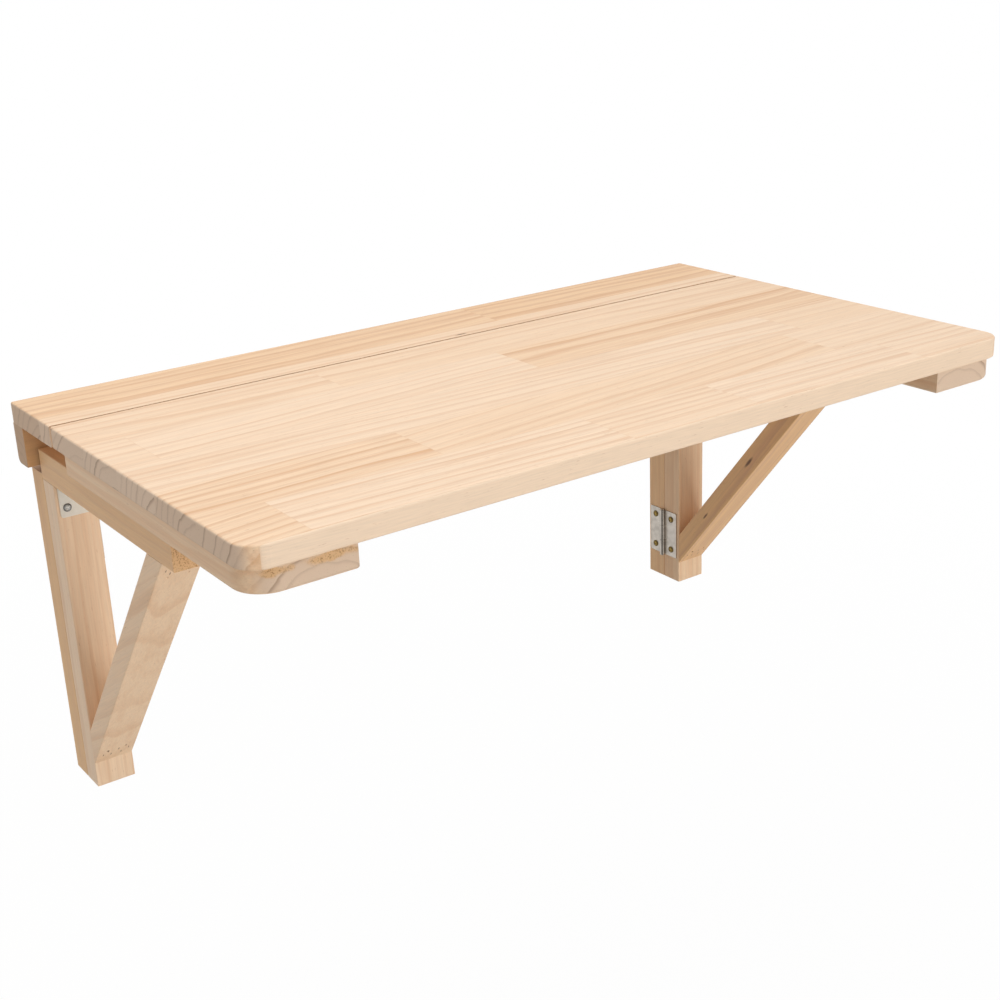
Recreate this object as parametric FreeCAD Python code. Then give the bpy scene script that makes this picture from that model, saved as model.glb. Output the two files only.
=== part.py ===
import FreeCAD, Part
import math
import os

# A pine table that hangs on a wall. A narrow ledge stays on the wall, and a leaf is hinged to it.
# Two gates swing out from wall posts to hold the leaf up, and fold inwards against the wall.
# Millimetres. X runs along the wall, the wall is the plane y = 0 and the room is towards -Y, Z is up.
# The origin lies on the wall, midway along the back rail and at half its height.

# Top boards
table_width = 700.0
table_depth = 400.0
board_thickness = 17.0
board_edge_radius = 1.6
ledge_depth = 84.0
seam_gap = 2.4
leaf_corner_radius = 18.0

# Battens under the leaf
batten_width = 77.0
batten_thickness = 18.0
batten_end_inset = 2.0
batten_front_inset = 2.0
batten_setback = 18.0
batten_corner_radius = 24.0
batten_edge_radius = 3.0

# Back rail
back_rail_thickness = 20.0
back_rail_height = 33.0
back_rail_heel_radius = 5.0

# Wall posts and gates
post_width = 33.0
post_depth = 23.0
post_inset = 9.0
post_top_gap = 6.0
gate_gap = 0.3
gate_height = 294.0
gate_reach = 246.0
gate_rail_height = 25.0
leaf_rest_clearance = 0.3
brace_thickness = 20.0
foot_height = 22.0
rail_overhang = 20.0
timber_edge_radius = 0.8

# Butt hinges, one size for the gates and the leaf
hinge_length = 50.0
hinge_plate_reach = 20.0
hinge_plate_thickness = 1.2
hinge_plate_corner_radius = 1.5
hinge_pin_radius = 1.45
hinge_pin_clearance = 0.05
hinge_knuckle_count = 3
hinge_knuckle_gap = 0.4
hinge_swing_clearance = 0.3
hinge_pin_head_radius = 2.2
hinge_pin_head_height = 1.0
hinge_screw_offset = 12.0
hinge_screw_end_distance = 8.0
gate_hinge_end_distance = 26.0
leaf_hinge_spacing = 210.0

# Angle bracket in the inner corner of each gate
bracket_width = 28.0
bracket_leg = 27.0
bracket_thickness = 1.8
bracket_corner_radius = 2.0
bracket_screw_spacing = 17.0
bracket_screw_offset = 19.0

# Round-head screws in the hinges and brackets
screw_shank_radius = 1.5
screw_head_radius = 3.4
screw_head_height = 1.8
screw_rim_height = 0.5
screw_length = 15.0
screw_fit_clearance = 0.05
screw_tip_clearance = 1.0

# Cross recess in every screw head
recess_width = 1.1
recess_length = 4.2
recess_depth = 0.9

# Flat-head screws that hold the battens
batten_screw_shank_radius = 1.75
batten_screw_head_radius = 3.5
batten_screw_length = 30.0
batten_screw_inset = 18.0
batten_screw_end_distance = 45.0
batten_screw_count = 3

# Headless nails in the brace ends
nail_radius = 0.8
nail_length = 18.0
nail_set_depth = 1.5
nail_spacing = 16.0
nail_end_distance = 14.0

# Dowels
dowel_radius = 4.0
dowel_length = 28.0
dowel_end_clearance = 0.5
dowel_depth_in_upper_piece = 12.0

# Holes for the wall screws
wall_hole_radius = 2.75
wall_countersink_radius = 5.0
rail_hole_end_distance = 50.0
rail_hole_count = 4
post_hole_end_distance = 48.0

# Cuts run past the faces that they pass through by the first, and points closer than the second coincide
cut_overrun = 5.0
tolerance = 1e-5

# Levels and planes worked out from the sizes above
half_width = table_width / 2
back_rail_top = back_rail_height / 2
back_rail_bottom = back_rail_top - back_rail_height
top_level = back_rail_top + board_thickness
board_underside = back_rail_top
batten_underside = board_underside - batten_thickness
leaf_rear = -ledge_depth - seam_gap
batten_rear = leaf_rear - batten_setback
batten_front = batten_front_inset - table_depth
batten_outer_x = half_width - batten_end_inset
batten_inner_x = batten_outer_x - batten_width
post_outer_x = half_width - post_inset
post_inner_x = post_outer_x - post_width
post_middle_x = post_outer_x - post_width / 2
wall_post_front = -post_depth
gate_rear = wall_post_front - gate_gap
gate_post_front = gate_rear - post_depth
gate_front = gate_rear - gate_reach
gate_top = batten_underside - leaf_rest_clearance
gate_rail_underside = gate_top - gate_rail_height
gate_bottom = gate_top - gate_height
foot_top = gate_bottom + foot_height
wall_post_top = back_rail_bottom - post_top_gap
hinge_barrel_radius = hinge_pin_radius + hinge_pin_clearance + hinge_plate_thickness
screw_hole_radius = screw_shank_radius + screw_fit_clearance
dowel_hole_radius = dowel_radius + screw_fit_clearance
nail_hole_radius = nail_radius + screw_fit_clearance

# Directions and turns
X_AXIS = FreeCAD.Vector(1, 0, 0)
Y_AXIS = FreeCAD.Vector(0, 1, 0)
Z_AXIS = FreeCAD.Vector(0, 0, 1)
ORIGIN = FreeCAD.Vector(0, 0, 0)
NO_TURN = FreeCAD.Rotation()
Z_TO_X = FreeCAD.Rotation(Y_AXIS, 90)
Z_TO_MINUS_Y = FreeCAD.Rotation(X_AXIS, 90)
Z_TO_MINUS_Z = FreeCAD.Rotation(X_AXIS, 180)


def block(x_range, y_range, z_range):
    """A box between two values on each axis, given in either order."""
    lows = [min(pair) for pair in (x_range, y_range, z_range)]
    sizes = [max(pair) - min(pair) for pair in (x_range, y_range, z_range)]
    return Part.makeBox(*sizes, FreeCAD.Vector(*lows))


def rod(radius, start, end):
    """A round bar between two points."""
    along = end - start
    return Part.makeCylinder(radius, along.Length, start, along)


def placed(shape, position, rotation=NO_TURN):
    """A copy of a shape, turned and then moved."""
    copy = shape.copy()
    copy.Placement = FreeCAD.Placement(position, rotation).multiply(shape.Placement)
    return copy


def mirrored(shape):
    """The right-hand twin of a left-hand piece."""
    return shape.mirror(ORIGIN, X_AXIS)


def edges_along(shape, direction):
    """The straight edges of a shape that run along a direction."""
    straight = [edge for edge in shape.Edges if edge.Curve.TypeId == "Part::GeomLine"]
    return [edge for edge in straight if edge.Curve.Direction.cross(direction).Length < tolerance]


def edges_through(shape, direction, points):
    """The straight edges along a direction whose lines pass through the points."""
    edges = edges_along(shape, direction)
    offsets = [(edge, edge.Vertexes[0].Point - point) for edge in edges for point in points]
    return [edge for edge, offset in offsets if offset.cross(direction).Length < tolerance]


def edges_at_level(shape, level):
    """The edges that lie flat at one height."""
    boxes = [(edge, edge.BoundBox) for edge in shape.Edges]
    return [edge for edge, box in boxes if abs(box.ZMin - level) + abs(box.ZMax - level) < tolerance]


def top_edges_off_seam(board, seam_y):
    """The upper edges of a top board, but for the one that runs along the seam."""
    boxes = [(edge, edge.BoundBox) for edge in edges_at_level(board, top_level)]
    return [edge for edge, box in boxes if abs(box.YMin - seam_y) + abs(box.YMax - seam_y) > tolerance]


def plan_board(x_range, y_range, z_range, corner_radius, corner_xs):
    """A board that is a rectangle from above, with the front corners at some x rounded."""
    board = block(x_range, y_range, z_range)
    corners = [FreeCAD.Vector(x, min(y_range), 0) for x in corner_xs]
    return board.makeFillet(corner_radius, edges_through(board, Z_AXIS, corners))


def eased_timber(x_range, y_range, z_range, along):
    """A sawn length of timber with its four long edges eased."""
    timber = block(x_range, y_range, z_range)
    return timber.makeFillet(timber_edge_radius, edges_along(timber, along))


def cross_recess(level):
    """The cross-shaped driver recess of a screw head whose top is at a level."""
    half_long = recess_length / 2
    half_wide = recess_width / 2
    depth = (level - recess_depth, level + cut_overrun)
    one = block((-half_long, half_long), (-half_wide, half_wide), depth)
    other = block((-half_wide, half_wide), (-half_long, half_long), depth)
    return one.fuse(other)


def revolved(points_and_arcs):
    """A solid turned about Z from a closed outline in the XZ plane."""
    face = Part.Face(Part.Wire(points_and_arcs))
    return face.revolve(ORIGIN, Z_AXIS, 360)


def in_section(radius, level):
    """A point of a turned outline."""
    return FreeCAD.Vector(radius, 0, level)


def shank_outline(shank_radius, length, top):
    """The straight lines of a screw's shank and point, from its top edge down to the tip."""
    shoulder = in_section(shank_radius, shank_radius - length)
    tip = in_section(0, -length)
    return [Part.makeLine(in_section(shank_radius, top), shoulder), Part.makeLine(shoulder, tip)], tip


def round_head_screw():
    """A screw with a domed head that seats at z = 0, its shank pointing down."""
    crown = in_section(0, screw_head_height)
    rim = in_section(screw_head_radius, screw_rim_height)
    seat = in_section(screw_head_radius, 0)
    rise = screw_head_height - screw_rim_height
    dome_radius = (screw_head_radius ** 2 + rise ** 2) / (2 * rise)
    half_angle = math.asin(screw_head_radius / dome_radius) / 2
    drop = dome_radius * (1 - math.cos(half_angle))
    middle = in_section(dome_radius * math.sin(half_angle), screw_head_height - drop)
    shank, tip = shank_outline(screw_shank_radius, screw_length, 0)
    outline = [
        Part.Arc(crown, middle, rim).toShape(),
        Part.makeLine(rim, seat),
        Part.makeLine(seat, in_section(screw_shank_radius, 0)),
        *shank,
        Part.makeLine(tip, crown),
    ]
    return revolved(outline).cut(cross_recess(screw_head_height))


def flat_head_screw():
    """A countersunk screw whose head is flush at z = 0, its shank pointing down."""
    crown = in_section(0, 0)
    rim = in_section(batten_screw_head_radius, 0)
    neck_level = batten_screw_shank_radius - batten_screw_head_radius
    neck = in_section(batten_screw_shank_radius, neck_level)
    shank, tip = shank_outline(batten_screw_shank_radius, batten_screw_length, neck_level)
    outline = [
        Part.makeLine(crown, rim),
        Part.makeLine(rim, neck),
        *shank,
        Part.makeLine(tip, crown),
    ]
    return revolved(outline).cut(cross_recess(0))


def pilot_hole(radius, depth, mouth):
    """The hole that a screw drives into, from a mouth above the surface down to a depth."""
    return rod(radius, in_section(0, mouth), in_section(0, -depth))


def countersunk_hole(hole_radius, rim_radius, depth):
    """A hole with a countersink at z = 0, running down to a depth."""
    sink_depth = rim_radius - hole_radius
    sink = Part.makeCone(hole_radius, rim_radius, sink_depth, in_section(0, -sink_depth))
    return pilot_hole(hole_radius, depth, 0).fuse(sink)


# A hinge stands at the origin with its pin along Z and its plates on a surface on its -X side.
# One plate reaches towards +Y and has the end knuckles, the other reaches towards -Y.
knuckle_pitch = hinge_length / hinge_knuckle_count
plate_skin = (-hinge_barrel_radius, -hinge_barrel_radius + hinge_plate_thickness)
plate_start = hinge_barrel_radius + hinge_swing_clearance
plate_face = plate_skin[1]
hinge_screw_heights = (hinge_screw_end_distance, hinge_length - hinge_screw_end_distance)


def hinge_screw_points(side):
    """Where the screws of one plate seat on it."""
    return [FreeCAD.Vector(plate_face, side * hinge_screw_offset, z) for z in hinge_screw_heights]


def hinge_plate(side, first_knuckle):
    """One plate with every second knuckle, rolled round the pin."""
    flat = block(plate_skin, (side * plate_start, side * hinge_plate_reach), (0, hinge_length))
    corners = [FreeCAD.Vector(0, side * hinge_plate_reach, z) for z in (0, hinge_length)]
    plate = flat.makeFillet(hinge_plate_corner_radius, edges_through(flat, X_AXIS, corners))
    for index in range(first_knuckle, hinge_knuckle_count, 2):
        low = index * knuckle_pitch + (hinge_knuckle_gap / 2 if index else 0)
        last = index == hinge_knuckle_count - 1
        high = (index + 1) * knuckle_pitch - (0 if last else hinge_knuckle_gap / 2)
        plate = plate.fuse(rod(hinge_barrel_radius, in_section(0, low), in_section(0, high)))
        plate = plate.fuse(block(plate_skin, (0, side * plate_start), (low, high)))
    bore = hinge_pin_radius + hinge_pin_clearance
    plate = plate.cut(rod(bore, in_section(0, -cut_overrun), in_section(0, hinge_length + cut_overrun)))
    for point in hinge_screw_points(side):
        hole = pilot_hole(screw_hole_radius, cut_overrun, cut_overrun)
        plate = plate.cut(placed(hole, point, Z_TO_X))
    return plate.removeSplitter()


def hinge_pin():
    """The pin, with a flat head beyond each end of the barrel."""
    top = hinge_length + hinge_pin_head_height
    shaft = rod(hinge_pin_radius, ORIGIN, in_section(0, hinge_length))
    lower_head = rod(hinge_pin_head_radius, in_section(0, -hinge_pin_head_height), ORIGIN)
    upper_head = rod(hinge_pin_head_radius, in_section(0, hinge_length), in_section(0, top))
    return shaft.fuse([lower_head, upper_head]).removeSplitter()


hinge_pilot = pilot_hole(screw_hole_radius, screw_length + screw_tip_clearance, 0)
hinge_pieces = {
    "fixed_plate": [hinge_plate(1, 0)],
    "swing_plate": [hinge_plate(-1, 1)],
    "pin": [hinge_pin()],
    "fixed_screws": [placed(round_head_screw(), point, Z_TO_X) for point in hinge_screw_points(1)],
    "swing_screws": [placed(round_head_screw(), point, Z_TO_X) for point in hinge_screw_points(-1)],
    "fixed_pilots": [placed(hinge_pilot, point, Z_TO_X) for point in hinge_screw_points(1)],
    "swing_pilots": [placed(hinge_pilot, point, Z_TO_X) for point in hinge_screw_points(-1)],
}


def hinge_at(position, rotation=NO_TURN):
    """All the pieces and pilot holes of one hinge, at its place."""
    hinge = {}
    for name, shapes in hinge_pieces.items():
        hinge[name] = [placed(shape, position, rotation) for shape in shapes]
    return hinge


nodes = {}

# Leaf hinges: three, under the seam, with their pins along X
leaf_hinge_axis_y = -ledge_depth - seam_gap / 2
leaf_hinge_axis_z = board_underside - hinge_barrel_radius
leaf_hinges = {}
for step, name in enumerate(("left", "middle", "right")):
    start_x = (step - 1) * leaf_hinge_spacing - hinge_length / 2
    leaf_hinges[name] = hinge_at(FreeCAD.Vector(start_x, leaf_hinge_axis_y, leaf_hinge_axis_z), Z_TO_X)
for name, hinge in leaf_hinges.items():
    nodes[f"leaf_hinge_{name}_ledge_plate"] = hinge["fixed_plate"]
    nodes[f"leaf_hinge_{name}_leaf_plate"] = hinge["swing_plate"]
    nodes[f"leaf_hinge_{name}_pin"] = hinge["pin"]
nodes["ledge_hinge_screws"] = [screw for hinge in leaf_hinges.values() for screw in hinge["fixed_screws"]]
nodes["leaf_hinge_screws"] = [screw for hinge in leaf_hinges.values() for screw in hinge["swing_screws"]]

# Ledge board: the fixed strip of the top, eased all round but for its square upper edge along the seam
ledge = block((-half_width, half_width), (-ledge_depth, 0), (board_underside, top_level))
ledge_toe = FreeCAD.Vector(0, -ledge_depth, board_underside)
ledge_edges = top_edges_off_seam(ledge, -ledge_depth) + edges_along(ledge, Z_AXIS)
ledge = ledge.makeFillet(board_edge_radius, ledge_edges + edges_through(ledge, X_AXIS, [ledge_toe]))

# Back rail: stands under the ledge's rear edge with its lower rear edge well rounded
back_rail = block((-half_width, half_width), (-back_rail_thickness, 0), (back_rail_bottom, back_rail_top))
toe = FreeCAD.Vector(0, -back_rail_thickness, back_rail_bottom)
heel = FreeCAD.Vector(0, 0, back_rail_bottom)
back_rail = back_rail.makeFillet(timber_edge_radius, edges_through(back_rail, X_AXIS, [toe]))
back_rail = back_rail.makeFillet(back_rail_heel_radius, edges_through(back_rail, X_AXIS, [heel]))

# Wall screw holes through the back rail, evenly spaced and countersunk from the room side
rail_hole_first_x = rail_hole_end_distance - half_width
rail_hole_pitch = -2 * rail_hole_first_x / (rail_hole_count - 1)
rail_hole_xs = [rail_hole_first_x + index * rail_hole_pitch for index in range(rail_hole_count)]
wall_hole = countersunk_hole(wall_hole_radius, wall_countersink_radius, post_depth + cut_overrun)
for x in rail_hole_xs:
    place = FreeCAD.Vector(x, -back_rail_thickness, 0)
    back_rail = back_rail.cut(placed(wall_hole, place, Z_TO_MINUS_Y))

# Dowels between ledge and back rail, in blind holes in both, midway between the wall screw holes
dowel_top_rise = dowel_depth_in_upper_piece
dowel_drop = dowel_length - dowel_depth_in_upper_piece
dowel = rod(dowel_radius, in_section(0, -dowel_drop), in_section(0, dowel_top_rise))
dowel_hole = rod(
    dowel_hole_radius,
    in_section(0, -dowel_drop - dowel_end_clearance),
    in_section(0, dowel_top_rise + dowel_end_clearance),
)
nodes["ledge_dowels"] = []
for x in rail_hole_xs[1:]:
    place = FreeCAD.Vector(x - rail_hole_pitch / 2, -back_rail_thickness / 2, back_rail_top)
    nodes["ledge_dowels"].append(placed(dowel, place))
    ledge = ledge.cut(placed(dowel_hole, place))
    back_rail = back_rail.cut(placed(dowel_hole, place))
for hinge in leaf_hinges.values():
    ledge = ledge.cut(hinge["fixed_pilots"])
nodes["ledge_board"] = [ledge]
nodes["back_rail"] = [back_rail]

# Leaf panel: the hinged board, with round front corners, and eased but for its upper edge along the seam
leaf = plan_board(
    (-half_width, half_width),
    (-table_depth, leaf_rear),
    (board_underside, top_level),
    leaf_corner_radius,
    (-half_width, half_width),
)
leaf_rear_corners = [FreeCAD.Vector(x, leaf_rear, 0) for x in (-half_width, half_width)]
leaf_edges = top_edges_off_seam(leaf, leaf_rear) + edges_at_level(leaf, board_underside)
leaf = leaf.makeFillet(board_edge_radius, leaf_edges + edges_through(leaf, Z_AXIS, leaf_rear_corners))
for hinge in leaf_hinges.values():
    leaf = leaf.cut(hinge["swing_pilots"])

# Left batten: screwed to the leaf from below, just inside its edges, its outer front corner rounder
left_batten = plan_board(
    (-batten_outer_x, -batten_inner_x),
    (batten_front, batten_rear),
    (batten_underside, board_underside),
    batten_corner_radius,
    (-batten_outer_x,),
)
left_batten = left_batten.makeFillet(batten_edge_radius, edges_at_level(left_batten, batten_underside))
batten_screw_hole = countersunk_hole(
    batten_screw_shank_radius + screw_fit_clearance,
    batten_screw_head_radius + screw_fit_clearance,
    batten_screw_length + screw_tip_clearance,
)
batten_screw_x = -batten_inner_x - batten_screw_inset
batten_screw_first = batten_rear - batten_screw_end_distance
batten_screw_last = batten_front + batten_screw_end_distance
batten_screw_pitch = (batten_screw_last - batten_screw_first) / (batten_screw_count - 1)
left_batten_screws = []
for index in range(batten_screw_count):
    y = batten_screw_first + index * batten_screw_pitch
    place = FreeCAD.Vector(batten_screw_x, y, batten_underside)
    hole = placed(batten_screw_hole, place, Z_TO_MINUS_Z)
    left_batten_screws.append(placed(flat_head_screw(), place, Z_TO_MINUS_Z))
    left_batten = left_batten.cut(hole)
    leaf = leaf.cut([hole, mirrored(hole)])
nodes["leaf_panel"] = [leaf]
nodes["batten"] = [left_batten]
nodes["batten_screws"] = left_batten_screws

# Left wall post: flat on the wall, with two countersunk wall screw holes
left_x = (-post_outer_x, -post_inner_x)
wall_post = eased_timber(left_x, (wall_post_front, 0), (gate_bottom, wall_post_top), Z_AXIS)
for height in (wall_post_top - post_hole_end_distance, gate_bottom + post_hole_end_distance):
    place = FreeCAD.Vector(-post_middle_x, wall_post_front, height)
    wall_post = wall_post.cut(placed(wall_hole, place, Z_TO_MINUS_Y))

# Left gate post and rail: the rail lies on top of the post and is doweled to it
gate_post = eased_timber(left_x, (gate_post_front, gate_rear), (gate_bottom, gate_rail_underside), Z_AXIS)
gate_rail = eased_timber(left_x, (gate_front, gate_rear), (gate_rail_underside, gate_top), Y_AXIS)
rail_dowel_place = FreeCAD.Vector(-post_middle_x, (gate_rear + gate_post_front) / 2, gate_rail_underside)
nodes["rail_dowel"] = [placed(dowel, rail_dowel_place)]
gate_post = gate_post.cut(placed(dowel_hole, rail_dowel_place))
gate_rail = gate_rail.cut(placed(dowel_hole, rail_dowel_place))

# Left gate brace: cut to butt on the post's front and the rail's underside
brace_tip_y = gate_front + rail_overhang
brace_run = gate_post_front - brace_tip_y
brace_rise = gate_rail_underside - foot_top
brace_slope_length = math.hypot(brace_run, brace_rise)
brace_on_post = brace_thickness * brace_slope_length / brace_run
brace_on_rail = brace_thickness * brace_slope_length / brace_rise
brace_direction = FreeCAD.Vector(0, -brace_run / brace_slope_length, brace_rise / brace_slope_length)
brace_outline = Part.makePolygon([
    FreeCAD.Vector(-post_outer_x, gate_post_front, foot_top),
    FreeCAD.Vector(-post_outer_x, brace_tip_y, gate_rail_underside),
    FreeCAD.Vector(-post_outer_x, brace_tip_y + brace_on_rail, gate_rail_underside),
    FreeCAD.Vector(-post_outer_x, gate_post_front, foot_top + brace_on_post),
    FreeCAD.Vector(-post_outer_x, gate_post_front, foot_top),
])
brace = Part.Face(brace_outline).extrude(X_AXIS * post_width)
brace = brace.makeFillet(timber_edge_radius, edges_along(brace, brace_direction))

# Brace nails: two level ones into the post and two upright ones into the rail, set below the face
nail = rod(nail_radius, in_section(0, -nail_length - nail_set_depth), in_section(0, -nail_set_depth))
nail_hole = pilot_hole(nail_hole_radius, nail_length + nail_set_depth + screw_tip_clearance, cut_overrun)
lower_nail_z = foot_top + nail_end_distance
lower_nail_y = gate_post_front - nail_end_distance * brace_run / brace_rise
upper_nail_y = brace_tip_y + nail_end_distance
upper_nail_z = gate_rail_underside - nail_end_distance * brace_rise / brace_run
nodes["brace_nails"] = []
for side in (-1, 1):
    x = -post_middle_x + side * nail_spacing / 2
    lower_place = FreeCAD.Vector(x, lower_nail_y, lower_nail_z)
    upper_place = FreeCAD.Vector(x, upper_nail_y, upper_nail_z)
    for place, turn in ((lower_place, Z_TO_MINUS_Y), (upper_place, Z_TO_MINUS_Z)):
        nodes["brace_nails"].append(placed(nail, place, turn))
        hole = placed(nail_hole, place, turn)
        brace = brace.cut(hole)
        gate_post = gate_post.cut(hole)
        gate_rail = gate_rail.cut(hole)
nodes["gate_brace"] = [brace]

# Left corner bracket: an angle plate on the post's front and the rail's underside, two screws in each leg
bracket_x = (-post_middle_x - bracket_width / 2, -post_middle_x + bracket_width / 2)
upright_leg = block(
    bracket_x,
    (gate_post_front - bracket_thickness, gate_post_front),
    (gate_rail_underside - bracket_leg, gate_rail_underside),
)
level_leg = block(
    bracket_x,
    (gate_post_front - bracket_leg, gate_post_front),
    (gate_rail_underside - bracket_thickness, gate_rail_underside),
)
upright_corners = [FreeCAD.Vector(x, 0, gate_rail_underside - bracket_leg) for x in bracket_x]
level_corners = [FreeCAD.Vector(x, gate_post_front - bracket_leg, 0) for x in bracket_x]
upright_edges = edges_through(upright_leg, Y_AXIS, upright_corners)
level_edges = edges_through(level_leg, Z_AXIS, level_corners)
upright_leg = upright_leg.makeFillet(bracket_corner_radius, upright_edges)
level_leg = level_leg.makeFillet(bracket_corner_radius, level_edges)
bracket = upright_leg.fuse(level_leg).removeSplitter()
bracket_pilot = pilot_hole(screw_hole_radius, screw_length + screw_tip_clearance, 0)
nodes["bracket_screws"] = []
for side in (-1, 1):
    x = -post_middle_x + side * bracket_screw_spacing / 2
    upright_seat = FreeCAD.Vector(
        x, gate_post_front - bracket_thickness, gate_rail_underside - bracket_screw_offset
    )
    level_seat = FreeCAD.Vector(
        x, gate_post_front - bracket_screw_offset, gate_rail_underside - bracket_thickness
    )
    for place, turn in ((upright_seat, Z_TO_MINUS_Y), (level_seat, Z_TO_MINUS_Z)):
        nodes["bracket_screws"].append(placed(round_head_screw(), place, turn))
        hole = placed(bracket_pilot, place, turn)
        bracket = bracket.cut(hole)
        gate_post = gate_post.cut(hole)
        gate_rail = gate_rail.cut(hole)
nodes["corner_bracket"] = [bracket]

# Left gate hinges: two, upright at the seam between the posts, on their inner faces
gate_hinge_x = -post_inner_x + hinge_barrel_radius
gate_hinge_y = (wall_post_front + gate_rear) / 2
gate_hinge_bottoms = {
    "upper": wall_post_top - gate_hinge_end_distance - hinge_length,
    "lower": gate_bottom + gate_hinge_end_distance,
}
nodes["wall_hinge_screws"] = []
nodes["gate_hinge_screws"] = []
for name, bottom in gate_hinge_bottoms.items():
    hinge = hinge_at(FreeCAD.Vector(gate_hinge_x, gate_hinge_y, bottom))
    nodes[f"{name}_hinge_wall_plate"] = hinge["fixed_plate"]
    nodes[f"{name}_hinge_gate_plate"] = hinge["swing_plate"]
    nodes[f"{name}_hinge_pin"] = hinge["pin"]
    nodes["wall_hinge_screws"] += hinge["fixed_screws"]
    nodes["gate_hinge_screws"] += hinge["swing_screws"]
    wall_post = wall_post.cut(hinge["fixed_pilots"])
    gate_post = gate_post.cut(hinge["swing_pilots"])
nodes["wall_post"] = [wall_post]
nodes["gate_post"] = [gate_post]
nodes["gate_rail"] = [gate_rail]

# Pieces that come as a left and a right twin, and pieces that lie across the middle
middle_pieces = ("ledge", "back_rail", "leaf")
os.makedirs("parts", exist_ok=True)
for name, solids in nodes.items():
    if name.startswith(middle_pieces):
        pieces = {name: solids}
    else:
        pieces = {f"left_{name}": solids, f"right_{name}": [mirrored(solid) for solid in solids]}
    for node, node_solids in pieces.items():
        shape = node_solids[0] if len(node_solids) == 1 else Part.makeCompound(node_solids)
        shape.exportStep(f"parts/{node}.step")
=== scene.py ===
import math

import bpy
from mathutils import Euler, Matrix, Vector


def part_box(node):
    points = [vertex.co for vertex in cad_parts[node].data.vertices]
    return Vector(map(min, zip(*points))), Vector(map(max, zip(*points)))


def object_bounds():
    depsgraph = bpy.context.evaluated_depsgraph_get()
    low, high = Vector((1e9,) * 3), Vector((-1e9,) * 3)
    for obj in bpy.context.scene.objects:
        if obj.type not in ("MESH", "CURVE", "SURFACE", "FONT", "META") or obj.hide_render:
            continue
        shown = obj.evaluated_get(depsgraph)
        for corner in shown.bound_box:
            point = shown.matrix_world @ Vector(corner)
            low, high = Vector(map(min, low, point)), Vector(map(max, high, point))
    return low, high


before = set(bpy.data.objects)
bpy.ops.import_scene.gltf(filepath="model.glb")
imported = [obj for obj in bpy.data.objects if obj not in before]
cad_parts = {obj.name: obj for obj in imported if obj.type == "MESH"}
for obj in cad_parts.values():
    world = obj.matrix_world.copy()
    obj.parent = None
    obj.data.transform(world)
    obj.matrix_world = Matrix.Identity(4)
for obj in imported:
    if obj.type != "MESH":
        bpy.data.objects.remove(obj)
cad_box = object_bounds()

# Ledge board and leaf panel: the table top, a fixed strip on the wall and a hinged board in front of it.
# Both are pine staves, finger-jointed end to end, glued edge to edge, planed and fine sanded.
# Their edges are rounded over, except along the seam between them, and the wood has no visible finish.
mm = 0.001


def linear(hex_colour):
    """An sRGB hex colour as the linear colour that a shader takes."""
    channels = [int(hex_colour[start:start + 2], 16) / 255 for start in (1, 3, 5)]
    return [c / 12.92 if c <= 0.04045 else ((c + 0.055) / 1.055) ** 2.4 for c in channels] + [1.0]


def add(tree, kind, inputs, **settings):
    """Adds a node with its settings, and fills its inputs with values or with links from other nodes."""
    made = tree.nodes.new("ShaderNode" + kind)
    for name, value in settings.items():
        setattr(made, name, value)
    for name, value in inputs.items():
        if isinstance(value, bpy.types.NodeSocket):
            tree.links.new(value, made.inputs[name])
        else:
            made.inputs[name].default_value = value
    return made


def new_material(name, **constants):
    """An empty material, with the numbers that are the same all over the surface set on its shader."""
    material = bpy.data.materials.new(name)
    material.use_nodes = True
    shader = material.node_tree.nodes["Principled BSDF"]
    for socket, value in constants.items():
        shader.inputs[socket.replace("_", " ")].default_value = value
    return material, material.node_tree, shader


def dress(node, material):
    """Gives a carried-over piece its material."""
    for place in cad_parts[node].material_slots:
        place.material = material


# Planed pine: pale earlywood that darkens over each year to a soft tan line of latewood, then drops back,
# with longer bands and short resin flecks. Sawn ends show the years as thin grey-brown arcs,
# and speckled tan places where the saw tore the fibres out.
pine_early = linear("#F8DFC5")
pine_honey = linear("#ECC08D")
pine_late = linear("#DEB086")
pine_fleck = linear("#B98A60")
pine_glue = linear("#DDB288")
pine_end_early = linear("#EED6C0")
pine_end_honey = linear("#C9AB90")
pine_end_late = linear("#B2957F")
pine_end_pit = linear("#8F7250")
pine_torn = linear("#E0B88A")
pine_torn_hollow = linear("#A8784A")
pine_knot = linear("#6B4527")

# The length and width of each marking along and across the grain, in millimetres. Real fibres, flecks
# and pits are finer than this, and are drawn coarser so that they show.
pine_markings = {
    "drift": (320, 80),
    "waver": (120, 14),
    "band": (340, 8),
    "streak": (130, 3.2),
    "fibre": (26, 1.2),
    "fleck": (7, 0.8),
    "pit": (1.6, 0.9),
    "tear": (1.8, 1.1),
    "patch": (12, 9),
}

# The noise level at which a marking starts to show, the level at which it is full, and its strength then
pine_marking_levels = {
    "band": (0.52, 0.72, 0.7),
    "streak": (0.5, 0.75, 0.5),
    "fleck": (0.66, 0.76, 0.5),
    "pit": (0.64, 0.74, 0.35),
    "tear": (0.5, 0.68, 0.8),
}
smooth = {"interpolation_type": "SMOOTHSTEP"}
wood_ior = 1.53


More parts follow.
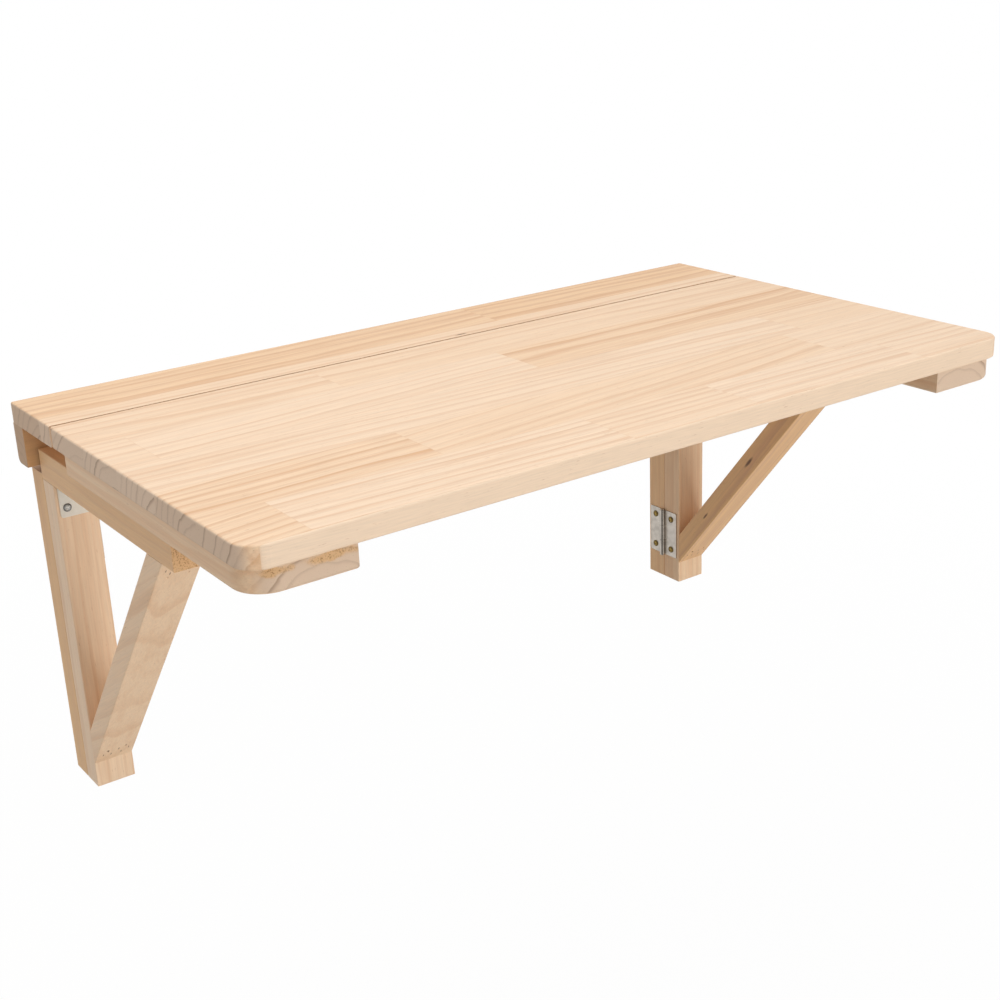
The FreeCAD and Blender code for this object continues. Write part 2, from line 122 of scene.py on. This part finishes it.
def pine_figure(tree, shader, place, local, grain, tone, figure, ring_width, knots=(), torn=(), glue=0.0):
    """Colours the shader as wood whose pith runs along X in the local coordinates.
    Tone runs from pale 0 to honey 1 and figure from plain 0 to strongly lined 1.
    Knots are spots and sizes, and torn places are centres and reaches, in the part's own coordinates."""
    noise = {}
    for name, (length, width) in pine_markings.items():
        stretch = [1 / (size * mm) for size in (length, width, width)]
        stretched = add(tree, "VectorMath", {0: local, 1: stretch}, operation="MULTIPLY").outputs[0]
        noise[name] = add(tree, "TexNoise", {"Vector": stretched, "Scale": 1.0, "Detail": 2.5}).outputs[0]
    shown = {}
    for name, (start, full, strength) in pine_marking_levels.items():
        levels = {0: noise[name], 1: start, 2: full, 4: strength}
        shown[name] = add(tree, "MapRange", levels).outputs[0]

    # How many years a point is from the pith, and how far into its year
    across = add(tree, "VectorMath", {0: local, 1: (0, 1, 1)}, operation="MULTIPLY").outputs[0]
    radius = add(tree, "VectorMath", {0: across}, operation="LENGTH").outputs["Value"]
    years = add(tree, "Math", {0: radius, 1: 1 / (ring_width * mm)}, operation="MULTIPLY").outputs[0]
    years_astray = {"drift": 1.8, "waver": 0.7}
    for name, most in years_astray.items():
        astray = {0: noise[name], 1: most, 2: years}
        years = add(tree, "Math", astray, operation="MULTIPLY_ADD").outputs[0]
    year = add(tree, "Math", {0: years}, operation="FLOOR").outputs[0]
    season = add(tree, "Math", {0: years}, operation="FRACT").outputs[0]
    growth = add(tree, "TexWhiteNoise", {"W": year}, noise_dimensions="1D").outputs[0]
    faintest_line, late_start, late_peak = 0.2, 0.4, 0.88
    growth = add(tree, "MapRange", {0: growth, 3: faintest_line, 4: 1.0}).outputs[0]
    summer = add(tree, "MapRange", {0: season, 1: late_start, 2: late_peak}, **smooth).outputs[0]
    winter = add(tree, "MapRange", {0: season, 1: 1.0, 2: late_peak}, **smooth).outputs[0]
    line = add(tree, "Math", {0: summer, 1: winter}, operation="MULTIPLY").outputs[0]
    line = add(tree, "Math", {0: line, 1: growth}, operation="MULTIPLY").outputs[0]

    # The planed faces
    face = add(tree, "Mix", {0: tone, 6: pine_early, 7: pine_honey}, data_type="RGBA").outputs[2]
    for marking in (line, shown["band"], shown["streak"]):
        amount = add(tree, "Math", {0: marking, 1: figure}, operation="MULTIPLY").outputs[0]
        face = add(tree, "Mix", {0: amount, 6: face, 7: pine_late}, data_type="RGBA").outputs[2]
    face = add(tree, "Mix", {0: shown["fleck"], 6: face, 7: pine_fleck}, data_type="RGBA").outputs[2]
    face = add(tree, "Mix", {0: glue, 6: face, 7: pine_glue}, data_type="RGBA").outputs[2]
    fibre_low, fibre_high = 0.25, 0.75
    fibre = {0: noise["fibre"], 1: fibre_low, 2: fibre_high}
    fibre_dull, fibre_bright = 0.93, 1.05
    sheen = add(tree, "MapRange", {**fibre, 3: fibre_dull, 4: fibre_bright}).outputs[0]
    face = add(tree, "VectorMath", {0: face, "Scale": sheen}, operation="SCALE").outputs[0]

    # The sawn ends
    arc_sharpness = 2.6
    arc = add(tree, "Math", {0: line, 1: arc_sharpness}, operation="POWER").outputs[0]
    end = add(tree, "Mix", {0: tone, 6: pine_end_early, 7: pine_end_honey}, data_type="RGBA").outputs[2]
    end = add(tree, "Mix", {0: arc, 6: end, 7: pine_end_late}, data_type="RGBA").outputs[2]
    end = add(tree, "Mix", {0: shown["pit"], 6: end, 7: pine_end_pit}, data_type="RGBA").outputs[2]
    hollow = shown["tear"]
    fibres = add(tree, "Mix", {0: hollow, 6: pine_torn, 7: pine_torn_hollow}, data_type="RGBA").outputs[2]
    dent = 0.0
    raggedness, torn_rim, torn_core = 1.4, 1.9, 1.3
    for centre, reach in torn:
        offset = add(tree, "VectorMath", {0: place, 1: centre}, operation="SUBTRACT").outputs[0]
        offset = add(tree, "VectorMath", {0: offset, 1: reach}, operation="DIVIDE").outputs[0]
        edge = add(tree, "VectorMath", {0: offset}, operation="LENGTH").outputs["Value"]
        ragged = {0: noise["patch"], 1: raggedness, 2: edge}
        edge = add(tree, "Math", ragged, operation="MULTIPLY_ADD").outputs[0]
        patch = add(tree, "MapRange", {0: edge, 1: torn_rim, 2: torn_core}, **smooth).outputs[0]
        end = add(tree, "Mix", {0: patch, 6: end, 7: fibres}, data_type="RGBA").outputs[2]
        dent = add(tree, "Math", {0: hollow, 1: patch, 2: dent}, operation="MULTIPLY_ADD").outputs[0]
    normal = add(tree, "TexCoord", {}).outputs["Normal"]
    endwise = add(tree, "VectorMath", {0: normal, 1: grain}, operation="DOT_PRODUCT").outputs["Value"]
    endwise = add(tree, "Math", {0: endwise}, operation="ABSOLUTE").outputs[0]
    face_limit, end_limit = 0.6, 0.95
    sawn = add(tree, "MapRange", {0: endwise, 1: face_limit, 2: end_limit}, **smooth).outputs[0]
    colour = add(tree, "Mix", {0: sawn, 6: face, 7: end}, data_type="RGBA").outputs[2]

    # A knot is drawn out along the grain
    knot_stretch = 5
    squeeze = Vector(grain) * (1 - 1 / knot_stretch)
    knot_rim, knot_heart = 1.3 * mm, 0.4 * mm
    for spot, size in knots:
        offset = add(tree, "VectorMath", {0: place, 1: spot}, operation="SUBTRACT").outputs[0]
        along = add(tree, "VectorMath", {0: offset, 1: grain}, operation="DOT_PRODUCT").outputs["Value"]
        along = add(tree, "VectorMath", {0: squeeze, "Scale": along}, operation="SCALE").outputs[0]
        offset = add(tree, "VectorMath", {0: offset, 1: along}, operation="SUBTRACT").outputs[0]
        edge = add(tree, "VectorMath", {0: offset}, operation="LENGTH").outputs["Value"]
        reach = {0: edge, 1: knot_rim * size, 2: knot_heart * size}
        knot = add(tree, "MapRange", reach, **smooth).outputs[0]
        colour = add(tree, "Mix", {0: knot, 6: colour, 7: pine_knot}, data_type="RGBA").outputs[2]

    # The plane leaves a soft sheen and a little relief, and the saw leaves the ends dull and pitted
    planed_smooth, planed_rough, sawn_rough = 0.5, 0.62, 0.8
    rough = add(tree, "MapRange", {**fibre, 3: planed_smooth, 4: planed_rough}).outputs[0]
    rough = add(tree, "Mix", {0: sawn, 2: rough, 3: sawn_rough}).outputs[0]
    line_rise, torn_drop = 0.5, -3.0
    crest = {0: line, 1: line_rise, 2: noise["fibre"]}
    relief = add(tree, "Math", crest, operation="MULTIPLY_ADD").outputs[0]
    crater = add(tree, "Math", {0: dent, 1: torn_drop}, operation="MULTIPLY").outputs[0]
    relief = add(tree, "Mix", {0: sawn, 2: relief, 3: crater}).outputs[0]
    relief_height = 0.1 * mm
    bump = add(tree, "Bump", {"Height": relief, "Strength": 0.3, "Distance": relief_height}).outputs[0]
    tree.links.new(colour, shader.inputs["Base Color"])
    tree.links.new(rough, shader.inputs["Roughness"])
    tree.links.new(bump, shader.inputs["Normal"])


sideways, wallwards, upright = (1, 0, 0), (0, 1, 0), (0, 0, 1)


def pine_staves(name, node, staves, seed, knots=()):
    """Edge-glued pine with its staves along X, the rear one first. A stave is a row of blocks from
    different trees, each with its start along X in millimetres, its tone, figure and lean of grain."""
    material, tree, shader = new_material(name, IOR=wood_ior)
    low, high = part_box(node)
    stave_width = 62.5 * mm
    place = add(tree, "TexCoord", {}).outputs["Object"]
    xyz = add(tree, "SeparateXYZ", {0: place}).outputs

    # Which stave a point is in; the fingers between blocks zigzag through the thickness
    rows = add(tree, "MapRange", {0: xyz["Y"], 1: high.y, 2: high.y - stave_width}, clamp=False).outputs[0]
    stave = add(tree, "Math", {0: rows}, operation="FLOOR").outputs[0]
    finger_pitch, finger_length = 4.5 * mm, 9 * mm
    finger = add(tree, "Math", {0: xyz["Z"], 1: finger_pitch / 2}, operation="PINGPONG").outputs[0]
    slant = 2 * finger_length / finger_pitch
    along = add(tree, "Math", {0: finger, 1: slant, 2: xyz["X"]}, operation="MULTIPLY_ADD").outputs[0]

    # The glue between staves, drawn coarser than a real glue line so that it shows
    glue_half_width, glue_strength = 0.5 * mm, 0.25
    half_stave = 0.5
    glue = add(tree, "Math", {0: rows, 1: half_stave}, operation="PINGPONG").outputs[0]
    reach = {0: glue, 1: glue_half_width / stave_width, 2: 0.0, 4: glue_strength}
    glue = add(tree, "MapRange", reach).outputs[0]

    # Which block it is in, and how that block looks
    block = seed
    look = (0, 0, 0)
    for number, blocks in enumerate(staves):
        inside = add(tree, "Math", {0: stave, 1: number, 2: half_stave}, operation="COMPARE").outputs[0]
        last_look = Vector((0, 0, 0))
        for joint, *block_look in blocks:
            past = add(tree, "Math", {0: along, 1: joint * mm}, operation="SUBTRACT").outputs[0]
            seam = add(tree, "Math", {0: past}, operation="ABSOLUTE").outputs[0]
            seam = add(tree, "MapRange", {0: seam, 1: glue_half_width, 2: 0.0, 4: glue_strength}).outputs[0]
            glue = add(tree, "Math", {0: seam, 1: inside, 2: glue}, operation="MULTIPLY_ADD").outputs[0]
            past = add(tree, "Math", {0: past, 1: 0.0}, operation="GREATER_THAN").outputs[0]
            past = add(tree, "Math", {0: past, 1: inside}, operation="MULTIPLY").outputs[0]
            count = {0: past, 1: number + 1.0, 2: block}
            block = add(tree, "Math", count, operation="MULTIPLY_ADD").outputs[0]
            change = {0: past, 1: Vector(block_look) - last_look, 2: look}
            look = add(tree, "VectorMath", change, operation="MULTIPLY_ADD").outputs[0]
            last_look = Vector(block_look)
    tone, figure, lean = add(tree, "SeparateXYZ", {0: look}).outputs

    # Each block has its own pith, drawn by lot, some way below the board and towards its front
    pith_reach = (900 * mm, 100 * mm, 60 * mm)
    pith_front, pith_depth = 50 * mm, 20 * mm
    pair = add(tree, "CombineXYZ", {0: stave, 1: block}).outputs[0]
    lot = add(tree, "TexWhiteNoise", {"Vector": pair}, noise_dimensions="2D").outputs["Color"]
    pith = add(tree, "VectorMath", {0: lot, 1: pith_reach}, operation="MULTIPLY").outputs[0]
    nearest = {0: stave, 1: -stave_width, 2: high.y - pith_front}
    row = add(tree, "Math", nearest, operation="MULTIPLY_ADD").outputs[0]
    root = add(tree, "CombineXYZ", {1: row, 2: low.z - pith_depth}).outputs[0]
    local = add(tree, "VectorMath", {0: place, 1: root}, operation="SUBTRACT").outputs[0]
    local = add(tree, "VectorMath", {0: local, 1: pith}, operation="ADD").outputs[0]
    shift = add(tree, "Math", {0: lean, 1: xyz["X"]}, operation="MULTIPLY").outputs[0]
    shift = add(tree, "CombineXYZ", {1: shift}).outputs[0]
    local = add(tree, "VectorMath", {0: local, 1: shift}, operation="ADD").outputs[0]
    stave_ring_width = 8.0
    pine_figure(tree, shader, place, local, sideways, tone, figure, stave_ring_width, knots, glue=glue)
    return material


ledge_staves = (
    ((-400, 0.6, 1.1, -0.03), (84, 0.7, 1.3, 0.02)),
    ((-400, 0.3, 0.6, 0.0),),
)
leaf_staves = (
    ((-400, 0.25, 0.6, 0.02), (-125, 0.3, 0.6, 0.0)),
    ((-400, 0.2, 0.4, 0.0), (-309, 0.15, 0.5, -0.03), (20, 0.45, 1.2, -0.02)),
    ((-400, 0.15, 0.55, 0.02), (256, 0.3, 0.4, 0.0)),
    ((-400, 0.35, 1.0, -0.03), (-157, 0.3, 0.5, -0.1), (228, 0.2, 0.3, 0.0)),
    ((-400, 0.35, 0.8, -0.1), (-294, 0.1, 0.7, 0.03), (-39, 0.2, 0.5, 0.0), (81, 0.1, 0.6, 0.02),
     (262, 0.15, 0.5, 0.0)),
)
ledge_knot_place = Vector((25 * mm, -79 * mm, cad_box[1].z))
ledge_knots = [(ledge_knot_place, 1.2)]
ledge_pine = pine_staves(
    "planed_pine_ledge_staves", "ledge_board", ledge_staves, seed=3.0, knots=ledge_knots
)
leaf_pine = pine_staves("planed_pine_leaf_staves", "leaf_panel", leaf_staves, seed=11.0)
dress("ledge_board", ledge_pine)
dress("leaf_panel", leaf_pine)

# Back rail, battens, wall posts, gate posts and gate rails: single lengths of planed pine, sawn square.
# The back rail is doweled to the ledge and each gate rail to its post, and screws hold the battens.
# Each length has its grain along it, and its pith lies to one side or another.


def pine_length(node, along, pith, tone, figure=0.6, ring_width=9.0, lean=(0, 0, 0), knots=(), torn=()):
    """Dresses a length of pine. Pith, knots and torn places are offsets from its middle in millimetres."""
    material, tree, shader = new_material("planed_pine_" + node, IOR=wood_ior)
    low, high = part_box(node)
    middle = (low + high) / 2
    grain = Vector(along).normalized()
    turn = Euler(lean).to_matrix() @ Vector(sideways).rotation_difference(grain).to_matrix()
    place = add(tree, "TexCoord", {}).outputs["Object"]
    pose = {"Vector": place, "Location": middle + Vector(pith) * mm, "Rotation": turn.to_euler()}
    local = add(tree, "Mapping", pose, vector_type="TEXTURE").outputs[0]
    placed_knots = [(middle + Vector(spot) * mm, size) for spot, size in knots]
    placed_tears = [(middle + Vector(centre) * mm, Vector(reach) * mm) for centre, reach in torn]
    pine_figure(tree, shader, place, local, grain, tone, figure, ring_width, placed_knots, placed_tears)
    dress(node, material)


# Where the saw tore the front ends: the middle of each place and its reach
rail_tear = ((0, -123, 0), (34, 12, 26))
batten_tears = [((20, -146, 6), (20, 9, 4)), ((-20, -142, 6), (11, 12, 4))]
pine_length("back_rail", sideways, (0, 30, -60), tone=1.0)
pine_length("left_batten", wallwards, (15, 0, -40), tone=0.4, figure=0.5, torn=batten_tears)
pine_length("right_batten", wallwards, (-12, 0, -35), tone=0.3, figure=0.5)
pine_length("left_wall_post", upright, (60, 25, 0), tone=1.0, figure=0.9, ring_width=7.0)
pine_length("right_wall_post", upright, (50, -60, 0), tone=0.8, figure=0.6, ring_width=7.0)
pine_length("left_gate_post", upright, (80, 10, 0), tone=0.25, figure=0.45, ring_width=7.0)
pine_length("right_gate_post", upright, (70, 20, 0), tone=0.4, figure=0.5, ring_width=7.0)
pine_length("left_gate_rail", wallwards, (30, 0, 50), tone=0.9, torn=[rail_tear])
pine_length("right_gate_rail", wallwards, (-40, 0, 40), tone=0.8, torn=[rail_tear])

# Gate braces: planed pine struts, cut on the slant and nailed to the gate post and to the gate rail.
# The right one has small knots, and both have dents from the hammer and from nails that were drawn again.
# The middle of a brace's box lies on its outer face, and places are offsets from it in millimetres.
brace_low, brace_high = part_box("left_gate_brace")
brace_along = Vector((0, brace_low.y - brace_high.y, brace_high.z - brace_low.z)).normalized()
brace_out = Vector(sideways).cross(brace_along)
brace_half_width = (brace_high.x - brace_low.x) / 2 / mm
brace_half_thickness = 10
brace_half_length = (brace_high - brace_low).yz.length / 2 / mm
dents = []
dent_size = 0.4
for across, end_distance in ((-11, 12), (-4, 10), (5, 9), (-7, 17), (2, 16), (11, 13)):
    for end in (-1, 1):
        dent_along = end * (brace_half_length - end_distance) * brace_along
        dents.append((dent_along + Vector((across, 0, 0)), dent_size))
side_middle = Vector((-brace_half_width, 0, 0)) - brace_half_thickness * brace_out
side_knots = [(side_middle + 12 * brace_along, 1.7), (side_middle - 84 * brace_along, 1.1)]
left_brace_look = {"tone": 0.35, "figure": 0.45, "ring_width": 16.0, "lean": (0.35, 0, 0)}
right_brace_look = {"tone": 1.0, "figure": 1.3, "ring_width": 7.0}
pine_length("left_gate_brace", brace_along, (0, 45, 36), knots=dents, **left_brace_look)
pine_length("right_gate_brace", brace_along, (60, 40, 30), knots=dents + side_knots, **right_brace_look)

# Butt hinges: two on each gate and three under the leaf, pressed from steel strip and zinc plated.
# Their knuckles are rolled round a steel pin, and round-head screws hold the plates to the wood.
# Zinc plating: a cloudy pale grey on the flat of the plates. The rolled knuckles are painted darker where
# they curve away from the axes, a painted reflection of dark surroundings that shows as dark stripes down
# their sides.


def squareness(tree, least):
    """How squarely a point faces along one of the axes: 0 up to the least share, and 1 at a flat face."""
    normal = add(tree, "TexCoord", {}).outputs["Normal"]
    normal = add(tree, "VectorMath", {0: normal}, operation="ABSOLUTE").outputs[0]
    share = add(tree, "SeparateXYZ", {0: normal}).outputs
    most = add(tree, "Math", {0: share["X"], 1: share["Y"]}, operation="MAXIMUM").outputs[0]
    most = add(tree, "Math", {0: most, 1: share["Z"]}, operation="MAXIMUM").outputs[0]
    flat_share = 0.99
    return add(tree, "MapRange", {0: most, 1: least, 2: flat_share}, **smooth).outputs[0]


plate_zinc, knuckle_painted_reflection = linear("#BDB5AB"), linear("#57514A")
plate_cloud = 6 * mm
cloud_low, cloud_high = 0.3, 0.7
plate_shade, plate_light = 0.8, 1.08
plate_dull, plate_polished = 0.4, 0.26
hinge_zinc, tree, shader = new_material("zinc_plated_pressed_steel", Metallic=1.0)
place = add(tree, "TexCoord", {}).outputs["Object"]
cloud = add(tree, "TexNoise", {"Vector": place, "Scale": 1 / plate_cloud, "Detail": 4}).outputs[0]
clouds = {0: cloud, 1: cloud_low, 2: cloud_high}
tint = add(tree, "MapRange", {**clouds, 3: plate_shade, 4: plate_light}).outputs[0]
# Painted reflection: where the surface curves, as on the knuckles, the colour goes to a dark grey
flat = squareness(tree, least=0.8)
plate = add(tree, "Mix", {0: flat, 6: knuckle_painted_reflection, 7: plate_zinc}, data_type="RGBA").outputs[2]
colour = add(tree, "VectorMath", {0: plate, "Scale": tint}, operation="SCALE").outputs[0]
rough = add(tree, "MapRange", {**clouds, 3: plate_dull, 4: plate_polished}).outputs[0]
tree.links.new(colour, shader.inputs["Base Color"])
tree.links.new(rough, shader.inputs["Roughness"])

# Yellow zinc: a bronze tint over the screw heads, with painted shade darkening the curved rim of each head
yellow_zinc, yellow_zinc_shade, yellow_zinc_painted_shade = linear("#B49A58"), linear("#7D683C"), linear("#3A2E1C")
yellow_cloud = 2.5 * mm
yellow_polished, yellow_dull = 0.25, 0.4
screw_zinc, tree, shader = new_material("yellow_passivated_zinc", Metallic=1.0)
place = add(tree, "TexCoord", {}).outputs["Object"]
cloud = add(tree, "TexNoise", {"Vector": place, "Scale": 1 / yellow_cloud, "Detail": 3}).outputs[0]
colour = add(tree, "Mix", {0: cloud, 6: yellow_zinc, 7: yellow_zinc_shade}, data_type="RGBA").outputs[2]
# Painted shade: the curved parts of each head go to a dark brown, and only the flat faces keep the bronze
unshaded_share = squareness(tree, least=0.75)
colour = add(tree, "Mix", {0: unshaded_share, 6: yellow_zinc_painted_shade, 7: colour}, data_type="RGBA").outputs[2]
clouds = {0: cloud, 1: cloud_low, 2: cloud_high}
rough = add(tree, "MapRange", {**clouds, 3: yellow_polished, 4: yellow_dull}).outputs[0]
tree.links.new(colour, shader.inputs["Base Color"])
tree.links.new(rough, shader.inputs["Roughness"])

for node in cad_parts:
    if "hinge" in node:
        dress(node, screw_zinc if node.endswith("screws") else hinge_zinc)
    elif node.endswith("batten_screws"):
        dress(node, screw_zinc)

# Corner brackets: angle plates of steel strip in the inner corner of each gate, stove-enamelled off-white.
# Bright zinc screws hold them, and headless nails pin the braces.
# Stove enamel: an even, slightly cloudy off-white with a soft gloss.
enamel_pale, enamel_shade = linear("#F4F1EA"), linear("#E6E1D6")
enamel_cloud = 5 * mm
enamel_glossy, enamel_dull = 0.28, 0.42
enamel, tree, shader = new_material("stove_enamelled_steel", IOR=1.5)
place = add(tree, "TexCoord", {}).outputs["Object"]
cloud = add(tree, "TexNoise", {"Vector": place, "Scale": 1 / enamel_cloud, "Detail": 3}).outputs[0]
colour = add(tree, "Mix", {0: cloud, 6: enamel_pale, 7: enamel_shade}, data_type="RGBA").outputs[2]
clouds = {0: cloud, 1: cloud_low, 2: cloud_high}
rough = add(tree, "MapRange", {**clouds, 3: enamel_glossy, 4: enamel_dull}).outputs[0]
tree.links.new(colour, shader.inputs["Base Color"])
tree.links.new(rough, shader.inputs["Roughness"])

# Bright zinc: a pale silver that handling has dulled, with painted shade darkening the curved rims of the
# heads
silver_zinc, silver_zinc_shade, silver_zinc_painted_shade = linear("#C4C3BF"), linear("#9C9994"), linear("#4E4C49")
silver_cloud = 2 * mm
silver_polished, silver_dull = 0.4, 0.55
bright_zinc, tree, shader = new_material("bright_zinc_screw", Metallic=1.0)
place = add(tree, "TexCoord", {}).outputs["Object"]
cloud = add(tree, "TexNoise", {"Vector": place, "Scale": 1 / silver_cloud, "Detail": 3}).outputs[0]
colour = add(tree, "Mix", {0: cloud, 6: silver_zinc, 7: silver_zinc_shade}, data_type="RGBA").outputs[2]
# Painted shade: the curved parts of each head go to a dark grey, and only the flat faces keep the silver
unshaded_share = squareness(tree, least=0.75)
colour = add(tree, "Mix", {0: unshaded_share, 6: silver_zinc_painted_shade, 7: colour}, data_type="RGBA").outputs[2]
clouds = {0: cloud, 1: cloud_low, 2: cloud_high}
rough = add(tree, "MapRange", {**clouds, 3: silver_polished, 4: silver_dull}).outputs[0]
tree.links.new(colour, shader.inputs["Base Color"])
tree.links.new(rough, shader.inputs["Roughness"])
for side in ("left", "right"):
    dress(side + "_corner_bracket", enamel)
    dress(side + "_bracket_screws", bright_zinc)
    dress(side + "_brace_nails", bright_zinc)

# Dowels: plain turned beech pins in blind holes, out of sight in the joints.
# They hold the ledge to the back rail, and each gate rail to its gate post.
# Turned beech: a plain dull tan with fine darker flecks.
beech_pale, beech_fleck = linear("#D9B48A"), linear("#C29A6E")
beech_fleck_size = 1.5 * mm
beech_smooth, beech_rough = 0.55, 0.7
beech, tree, shader = new_material("turned_beech_dowel", IOR=wood_ior)
place = add(tree, "TexCoord", {}).outputs["Object"]
fleck = add(tree, "TexNoise", {"Vector": place, "Scale": 1 / beech_fleck_size, "Detail": 3}).outputs[0]
colour = add(tree, "Mix", {0: fleck, 6: beech_pale, 7: beech_fleck}, data_type="RGBA").outputs[2]
rough = add(tree, "MapRange", {0: fleck, 3: beech_smooth, 4: beech_rough}).outputs[0]
tree.links.new(colour, shader.inputs["Base Color"])
tree.links.new(rough, shader.inputs["Roughness"])
for node in ("ledge_dowels", "left_rail_dowel", "right_rail_dowel"):
    dress(node, beech)

# Studio: a pale floor at the height that a wall table hangs over, white round about, and large soft lamps.
# Matt floor paint: a dull even white, a little greyer where the table's shadow falls on it.
# From beneath the floor is clear, so that the underside can be looked at.
table_height = 750 * mm
floor_level = cad_box[1].z - table_height
floor_reach = 5.0
floor_mesh = bpy.data.meshes.new("studio_floor")
corners = [(x * floor_reach, y * floor_reach, floor_level) for x, y in ((-1, -1), (1, -1), (1, 1), (-1, 1))]
floor_mesh.from_pydata(corners, [], [(0, 1, 2, 3)])
floor = bpy.data.objects.new("studio_floor", floor_mesh)
bpy.context.scene.collection.objects.link(floor)


def watched_rays(tree):
    """1 where the camera, a mirror or a glass looks at a surface, and 0 where it only passes light on."""
    seen = add(tree, "LightPath", {}).outputs
    watched = {0: seen["Is Camera Ray"], 1: seen["Is Glossy Ray"]}
    watched = add(tree, "Math", watched, operation="MAXIMUM").outputs[0]
    watched = {0: watched, 1: seen["Is Transmission Ray"]}
    return add(tree, "Math", watched, operation="MAXIMUM").outputs[0]


# The camera and mirrors see the floor white, and the light that it sends back comes from a greyer one
floor_grey, floor_white = linear("#BDB9B3"), linear("#F6F5F3")
matt_white, tree, shader = new_material("matt_white_floor", Roughness=0.9)
watched = watched_rays(tree)
tint = add(tree, "Mix", {0: watched, 6: floor_grey, 7: floor_white}, data_type="RGBA").outputs[2]
tree.links.new(tint, shader.inputs["Base Color"])
place = add(tree, "TexCoord", {}).outputs["Object"]
distance = add(tree, "VectorMath", {0: place}, operation="LENGTH").outputs["Value"]
shadow_reach, white_reach, shadow_glow = 0.8, 2.2, 0.97
fade = {0: distance, 1: shadow_reach, 2: white_reach, 3: shadow_glow, 4: 1.0}
fade = add(tree, "MapRange", fade, **smooth).outputs[0]
share = add(tree, "Math", {0: watched, 1: fade}, operation="MULTIPLY").outputs[0]
glow = add(tree, "Emission", {"Strength": 1.0}).outputs[0]
surface = add(tree, "MixShader", {0: share, 1: shader.outputs[0], 2: glow}).outputs[0]
beneath = add(tree, "NewGeometry", {}).outputs["Backfacing"]
clear = add(tree, "BsdfTransparent", {}).outputs[0]
surface = add(tree, "MixShader", {0: beneath, 1: surface, 2: clear}).outputs[0]
tree.links.new(surface, tree.nodes["Material Output"].inputs["Surface"])
floor_mesh.materials.append(matt_white)

world = bpy.data.worlds.new("white_studio")
bpy.context.scene.world = world
world.use_nodes = True
tree = world.node_tree
watched = watched_rays(tree)

# The white round about fills the shade, most of all from the rear right, where no lamp stands
rear_right, front_fill, rear_fill, white = (0.6, 0.8, 0), 0.3, 1.3, 1.0
towards = add(tree, "TexCoord", {}).outputs["Generated"]
rearward = add(tree, "VectorMath", {0: towards, 1: rear_right}, operation="DOT_PRODUCT").outputs["Value"]
fill = add(tree, "MapRange", {0: rearward, 3: front_fill, 4: rear_fill}).outputs[0]
strength = add(tree, "Mix", {0: watched, 2: fill, 3: white}).outputs[0]
tree.links.new(strength, tree.nodes["Background"].inputs["Strength"])
tree.nodes["Background"].inputs["Color"].default_value = (1, 1, 1, 1)

target = (cad_box[0] + cad_box[1]) / 2

# Each lamp's place and width in metres, and its power in watts
lamp_white = linear("#FFFBF5")[:3]
lamps = {
    "top_softbox": ((-0.4, -0.4, 2.2), 1.8, 26.5),
    "front_softbox": ((0.9, -4.7, -0.4), 2.4, 142.0),
    "left_softbox": ((-3.2, -0.2, 1.6), 1.5, 13.0),
}
for name, (position, size, power) in lamps.items():
    lamp = bpy.data.lights.new(name, "AREA")
    lamp.size = size
    lamp.energy = power
    lamp.color = lamp_white
    holder = bpy.data.objects.new(name, lamp)
    holder.location = position
    holder.rotation_euler = (target - Vector(position)).to_track_quat("-Z", "Y").to_euler()
    bpy.context.scene.collection.objects.link(holder)

# Camera: where the photograph was taken from, above the table, in front of it and to its left.
# Its place is in metres and its turns in radians, from a fit to the table's straight edges.
camera_place = (-0.7070, -1.1817, 0.3794)
camera_yaw = 0.6070
camera_pitch = -0.3628
camera_roll = -0.0424
focal_share = 1.556
camera = bpy.data.objects.new("camera", bpy.data.cameras.new("camera"))
camera.data.sensor_width = 36.0
camera.data.lens = camera.data.sensor_width * focal_share
camera.matrix_world = (
    Matrix.Translation(camera_place)
    @ Matrix.Rotation(-camera_yaw, 4, "Z")
    @ Matrix.Rotation(math.pi / 2 + camera_pitch, 4, "X")
    @ Matrix.Rotation(camera_roll, 4, "Z")
)
bpy.context.scene.collection.objects.link(camera)
bpy.context.scene.camera = camera
bpy.context.scene.view_settings.view_transform = "Standard"
